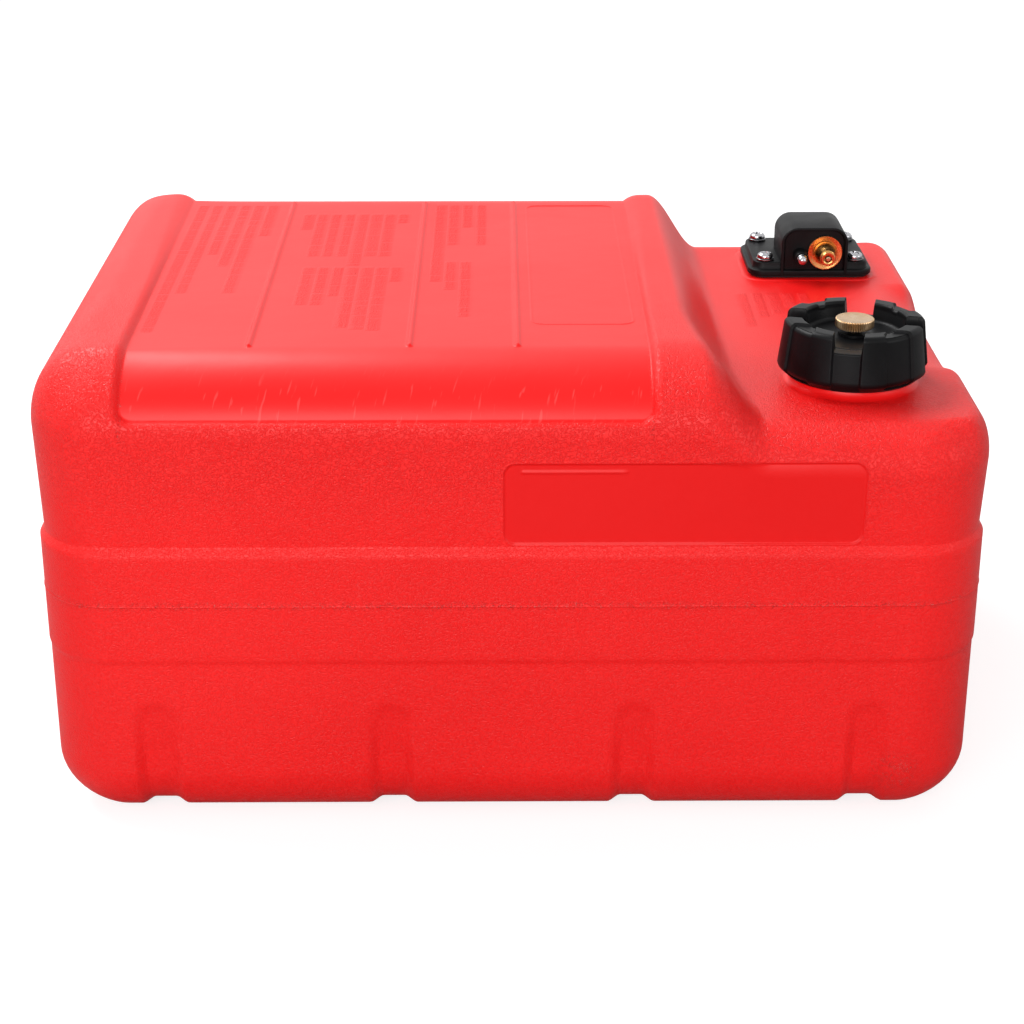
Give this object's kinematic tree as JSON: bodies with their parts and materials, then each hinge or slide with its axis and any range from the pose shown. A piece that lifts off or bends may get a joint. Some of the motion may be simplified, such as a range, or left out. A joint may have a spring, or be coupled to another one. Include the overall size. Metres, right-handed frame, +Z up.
{
  "type": "outboard fuel tank",
  "caption": "Portable red plastic fuel tank for an outboard motor, with a screw filler cap, a vent screw and a hooded hose connector.",
  "frame": {"origin": "middle of the underside", "axes": "+X to the right along the tank, +Y to the back, +Z up"},
  "size_m": [0.46, 0.35, 0.24],
  "materials": {
    "tank_plastic": "moulded polyethylene, fine leather grain",
    "black_plastic": "satin moulded nylon",
    "rubber": "plain nitrile rubber",
    "brass": "machined brass",
    "copper": "polished copper-coloured plate",
    "chrome": "bright plated steel",
    "steel": "plain stainless steel"
  },
  "bodies": {
    "tank": {"tank_shell": "tank_plastic", "insert_1": "brass", "insert_2": "brass", "insert_3": "brass", "insert_4": "brass", "joint_gasket": "rubber", "joint_housing": "black_plastic", "flange_screw_1": "chrome", "flange_screw_2": "chrome", "flange_screw_3": "chrome", "flange_screw_4": "chrome", "screw_washer_1": "chrome", "screw_washer_2": "chrome", "screw_washer_3": "chrome", "screw_washer_4": "chrome", "connector_flange": "copper", "fuel_nipple": "brass", "nipple_o_ring": "rubber", "locating_pin": "chrome", "check_valve_spring": "steel", "pickup_tube": "black_plastic", "pickup_strainer": "steel"},
    "cap_seal": {"cap_gasket": "rubber"},
    "cap": {"cap_shell": "black_plastic", "vent_bush": "black_plastic"},
    "vent_seal": {"vent_o_ring": "rubber"},
    "vent_screw": {"vent_knob": "brass", "vent_clip": "steel"},
    "valve": {"check_valve_plunger": "brass"}
  },
  "joints": [
    {"name": "cap_rise", "type": "slide", "parent": "tank", "child": "cap_seal", "axis": [0, 0, 1], "range_m": [0, 0.024]},
    {"name": "cap_turn", "type": "hinge", "parent": "cap_seal", "child": "cap", "pos_m": [0.168, -0.098, 0.212], "axis": [0, 0, 1], "range_deg": [0, 1080]},
    {"name": "vent_rise", "type": "slide", "parent": "cap", "child": "vent_seal", "axis": [0, 0, 1], "range_m": [0, 0.002]},
    {"name": "vent_turn", "type": "hinge", "parent": "vent_seal", "child": "vent_screw", "pos_m": [0.168, -0.098, 0.235], "axis": [0, 0, 1], "range_deg": [0, 720]},
    {"name": "valve_push", "type": "slide", "parent": "tank", "child": "valve", "axis": [0, 1, 0], "range_m": [0, 0.003], "stiffness_N_per_m": 150, "springref_m": -0.002, "deforming": ["check_valve_spring"]}
  ],
  "couplings": [
    {"joint": "cap_turn", "follows": "cap_rise", "rad_per_m": 785.4},
    {"joint": "vent_turn", "follows": "vent_rise", "rad_per_m": 6283.2}
  ]
}
